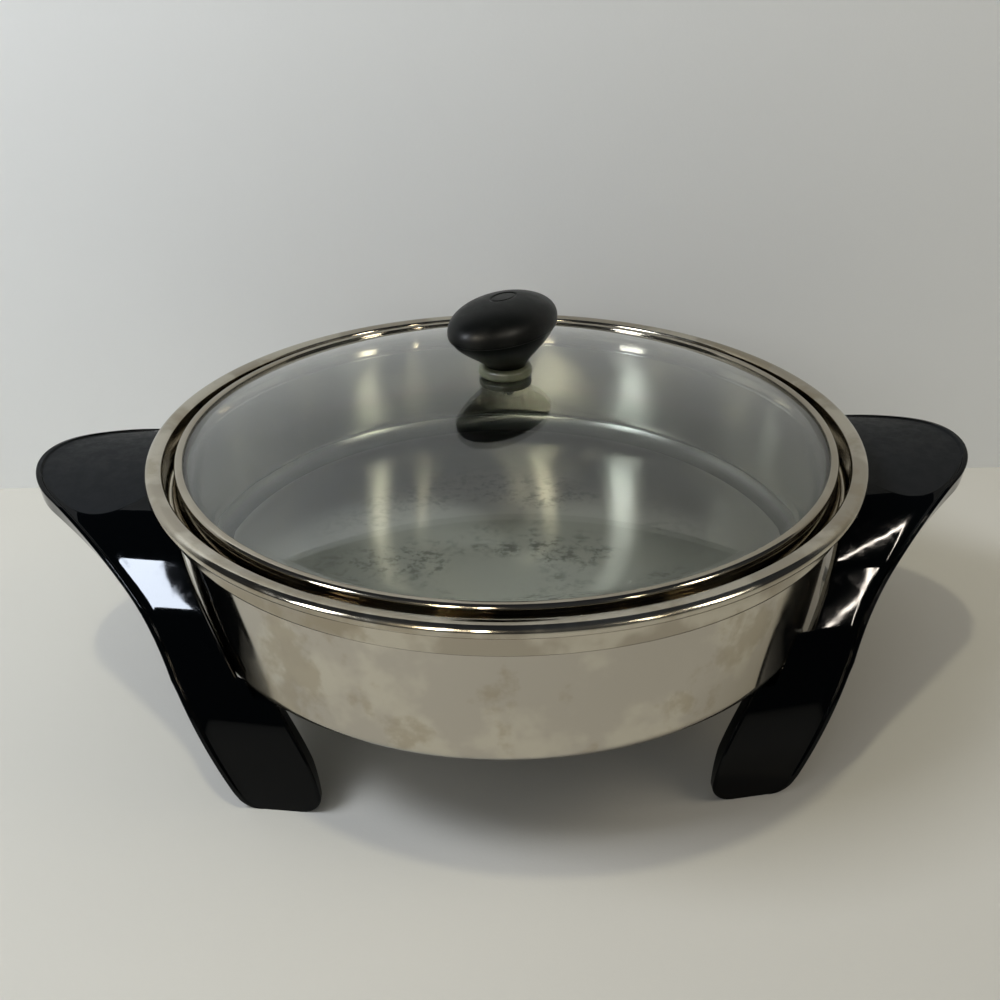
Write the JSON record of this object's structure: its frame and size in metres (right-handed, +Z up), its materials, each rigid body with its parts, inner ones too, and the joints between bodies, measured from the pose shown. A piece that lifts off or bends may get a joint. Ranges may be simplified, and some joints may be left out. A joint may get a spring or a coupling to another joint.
{
  "type": "electric skillet",
  "caption": "Round electric skillet of polished steel with a lift-off domed glass lid, an oval black knob and glossy black arched handles that form its legs.",
  "frame": {"origin": "centre of the whole object's box at table level, under the pan's axis", "axes": "+X from the pan's axis to the handle over the electric inlet, +Y to the back, +Z up along the pan's axis"},
  "size_m": [0.437, 0.3258, 0.1837],
  "materials": {
    "pan_steel": "polished stainless, satin and stained inside",
    "band_steel": "polished stainless",
    "dull_steel": "satin sheet steel",
    "screw_steel": "plated, satin",
    "plate_aluminium": "satin",
    "element_sheath": "dull, heat darkened",
    "pin_nickel": "nickel plated",
    "ceramic": "matt",
    "handle_phenolic": "gloss, satin on the crown",
    "knob_phenolic": "matt",
    "lid_glass": "clear, faint grey green",
    "pale_silicone": "satin, slightly translucent",
    "brass": "satin"
  },
  "bodies": {
    "skillet": {"pan_shell": "pan_steel", "heat_plate": "plate_aluminium", "heating_element": "element_sheath", "power_pins": "pin_nickel", "pin_insulators": "ceramic", "probe_tube": "plate_aluminium", "base_cover": "dull_steel", "cover_studs": "screw_steel", "cover_spacers": "dull_steel", "cover_washers": "screw_steel", "cover_nuts": "screw_steel", "inlet_guard": "dull_steel", "guard_screws": "screw_steel", "guard_nuts": "screw_steel", "handle_left": "handle_phenolic", "handle_right": "handle_phenolic", "bracket_left": "dull_steel", "bracket_right": "dull_steel", "handle_inserts_left": "brass", "handle_inserts_right": "brass", "handle_washers_left": "screw_steel", "handle_washers_right": "screw_steel", "handle_screws_left": "screw_steel", "handle_screws_right": "screw_steel"},
    "lid": {"lid_glass": "lid_glass", "lid_band": "band_steel", "knob_washer": "pale_silicone", "under_glass_washer": "pale_silicone", "cup_washer": "screw_steel", "knob_screw": "screw_steel"},
    "knob": {"knob": "knob_phenolic", "knob_insert": "brass"}
  },
  "joints": [
    {"name": "lid_lift", "type": "slide", "parent": "skillet", "child": "lid", "axis": [0, 0, 1], "range_m": [0, 0.12]},
    {"name": "knob_turn", "type": "hinge", "parent": "lid", "child": "knob", "pos_m": [0, 0, 0.155], "axis": [0, 0, 1], "continuous": true}
  ]
}
